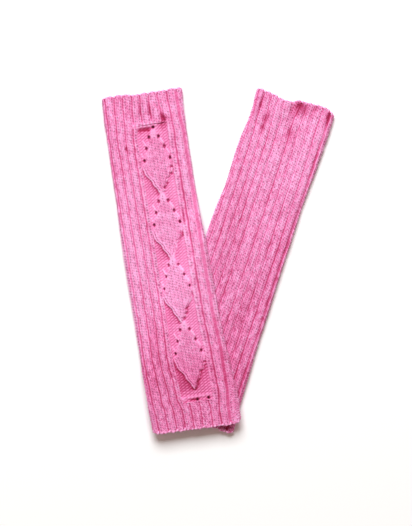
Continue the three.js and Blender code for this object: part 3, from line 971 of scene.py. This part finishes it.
def yarnMaterial(name, tint=1.0):
    material = bpy.data.materials.new(name)
    material.use_nodes = True
    nodes, links = material.node_tree.nodes, material.node_tree.links
    shader = nodes["Principled BSDF"]
    shader.inputs["Roughness"].default_value = yarn["roughness"]
    shader.inputs["Specular IOR Level"].default_value = 0.15
    shader.inputs["Sheen Weight"].default_value = yarn["sheen"]
    shader.inputs["Sheen Roughness"].default_value = 0.5
    shader.inputs["Sheen Tint"].default_value = (1.0, 0.72, 0.86, 1.0)
    hollow = nodes.new("ShaderNodeAttribute")
    hollow.attribute_name = "hollow"
    place = nodes.new("ShaderNodeTexCoord")
    stitches = nodes.new("ShaderNodeUVMap")
    stitches.uv_map = "stitches"

    mottle = nodes.new("ShaderNodeTexNoise")
    mottle.inputs["Scale"].default_value = yarn["mottleScale"]
    mottle.inputs["Detail"].default_value = 4.0
    links.new(place.outputs["Object"], mottle.inputs["Vector"])
    fibre = nodes.new("ShaderNodeTexNoise")
    fibre.inputs["Scale"].default_value = yarn["fibreScale"]
    fibre.inputs["Detail"].default_value = 3.0
    fibre.inputs["Distortion"].default_value = 0.6
    links.new(place.outputs["Object"], fibre.inputs["Vector"])
    # fine slanting lines of the yarn's plies, in stitch coordinates
    plies = nodes.new("ShaderNodeTexWave")
    plies.wave_type = "BANDS"
    plies.bands_direction = "DIAGONAL"
    plies.inputs["Scale"].default_value = 1.6
    plies.inputs["Distortion"].default_value = 2.5
    plies.inputs["Detail"].default_value = 2.0
    links.new(stitches.outputs["UV"], plies.inputs["Vector"])

    def mathNode(operation, a, b):
        node = nodes.new("ShaderNodeMath")
        node.operation = operation
        for socket, value in zip(node.inputs, (a, b)):
            if isinstance(value, (int, float)):
                socket.default_value = value
            else:
                links.new(value, socket)
        return node.outputs[0]

    spread = mathNode("MULTIPLY", mathNode("SUBTRACT", mottle.outputs["Fac"], 0.5), 0.2)
    fine = mathNode("MULTIPLY", mathNode("SUBTRACT", fibre.outputs["Fac"], 0.5), 0.35)
    depth = mathNode("ADD", mathNode("ADD", hollow.outputs["Fac"], spread), fine)
    depth = mathNode("ADD", depth, mathNode("MULTIPLY", mathNode("SUBTRACT", plies.outputs["Fac"], 0.5), 0.10))
    # the ramp turns the painted shade into deeper crimson
    ramp = nodes.new("ShaderNodeValToRGB")
    ramp.color_ramp.interpolation = "EASE"
    stops = ((0.0, "light"), (0.36, "middle"), (0.78, "hollow"), (1.0, "deep"))
    while len(ramp.color_ramp.elements) < len(stops):
        ramp.color_ramp.elements.new(0.5)
    for element, (at, key) in zip(ramp.color_ramp.elements, stops):
        element.position = at
        element.color = (*[c * tint for c in yarn[key]], 1.0)
    links.new(depth, ramp.inputs["Fac"])
    # the stitch dots' painted shade, laid over the ramp's colour
    pores = nodes.new("ShaderNodeAttribute")
    pores.attribute_name = "pores"
    pored = nodes.new("ShaderNodeMixRGB")
    pored.inputs["Color2"].default_value = (*yarn["pore"], 1.0)
    links.new(pores.outputs["Fac"], pored.inputs["Fac"])
    links.new(ramp.outputs["Color"], pored.inputs["Color1"])
    links.new(pored.outputs["Color"], shader.inputs["Base Color"])

    bump = nodes.new("ShaderNodeBump")
    bump.inputs["Strength"].default_value = 0.55
    bump.inputs["Distance"].default_value = 0.0004
    height = mathNode("ADD", fibre.outputs["Fac"], mathNode("MULTIPLY", plies.outputs["Fac"], 0.8))
    links.new(height, bump.inputs["Height"])
    links.new(bump.outputs["Normal"], shader.inputs["Normal"])
    return material


# ---- build

frontFace = buildUpper(frontLeg, True)
rearFace = buildUpper(rearLeg, False)
frontLace = buildLace(frontLeg, True, lace["rows"], lace["columns"], 1)
frontBack = buildUnder(frontLeg, None)
rearBack = buildUnder(rearLeg, frontLeg["window"])
rearLace = buildLace(rearLeg, False, 240, 40, 4)
edges = {leg["name"]: [buildMouthEdge(leg, True), buildMouthEdge(leg, False)] for leg in (frontLeg, rearLeg)}

ribYarn = yarnMaterial("ribYarn")
laceYarn = yarnMaterial("laceYarn")
for obj in [frontFace, rearFace, frontBack, rearBack] + edges["frontLeg"] + edges["rearLeg"]:
    obj.data.materials.append(ribYarn)
for obj in (frontLace, rearLace):
    obj.data.materials.append(laceYarn)

bpy.ops.mesh.primitive_plane_add(size=6.0, location=(0, 0, -0.0002))
floor = bpy.context.object
floor.name = "floor"
floorPaint = bpy.data.materials.new("paleFloor")
floorPaint.use_nodes = True
floorPaint.node_tree.nodes["Principled BSDF"].inputs["Base Color"].default_value = (0.96, 0.96, 0.96, 1)
floorPaint.node_tree.nodes["Principled BSDF"].inputs["Roughness"].default_value = 0.9
floor.data.materials.append(floorPaint)
floor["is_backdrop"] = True

pieces = [
    (frontFace, "front_leg_tube", "pink_rib_knit"),
    (frontBack, "front_leg_tube", "pink_rib_knit"),
    (frontLace, "front_leg_lace_panel", "pink_lace_knit"),
    (rearFace, "rear_leg_tube", "pink_rib_knit"),
    (rearBack, "rear_leg_tube", "pink_rib_knit"),
    (rearLace, "rear_leg_lace_panel", "pink_lace_knit"),
    *[(obj, "front_leg_tube", "pink_rib_knit") for obj in edges["frontLeg"]],
    *[(obj, "rear_leg_tube", "pink_rib_knit") for obj in edges["rearLeg"]],
]
for obj, node, slot in pieces:
    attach(obj, "root")
    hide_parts(node)

# ---- camera and light

view = {"middle": (-0.0151, -0.0010), "tall": 0.6312, "distance": 4.0}
cameraData = bpy.data.cameras.new("camera")
camera = bpy.data.objects.new("camera", cameraData)
bpy.context.scene.collection.objects.link(camera)
camera.location = (*view["middle"], view["distance"])
cameraData.sensor_width = 36.0
cameraData.lens = 36.0 * (view["distance"] - 0.006) / view["tall"]
cameraData.clip_start, cameraData.clip_end = 0.01, 20.0
bpy.context.scene.camera = camera

light = {
    "soft": 238.0,
    "softSize": 2.5,
    "softFrom": (-0.44, 2.76, 3.3),
    "softColour": (0.96, 1.0, 1.03),
    "sky": 0.32,
    "skyColour": (1.0, 0.80, 0.66),
}
softData = bpy.data.lights.new("softLight", "AREA")
softData.shape = "SQUARE"
softData.size = light["softSize"]
softData.energy = light["soft"]
softData.color = light["softColour"]
soft = bpy.data.objects.new("softLight", softData)
bpy.context.scene.collection.objects.link(soft)
soft.location = light["softFrom"]
from mathutils import Vector
soft.rotation_mode = "QUATERNION"
soft.rotation_quaternion = (Vector(light["softFrom"])).to_track_quat("Z", "Y")
world = bpy.data.worlds.new("studio")
bpy.context.scene.world = world
world.use_nodes = True
world.node_tree.nodes["Background"].inputs["Color"].default_value = (*light["skyColour"], 1.0)
world.node_tree.nodes["Background"].inputs["Strength"].default_value = light["sky"]
bpy.context.scene.view_settings.view_transform = "Standard"

bpy.context.view_layer.update()
{"cad": cadBox, "visual": [list(corner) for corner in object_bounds()]}
print("done")
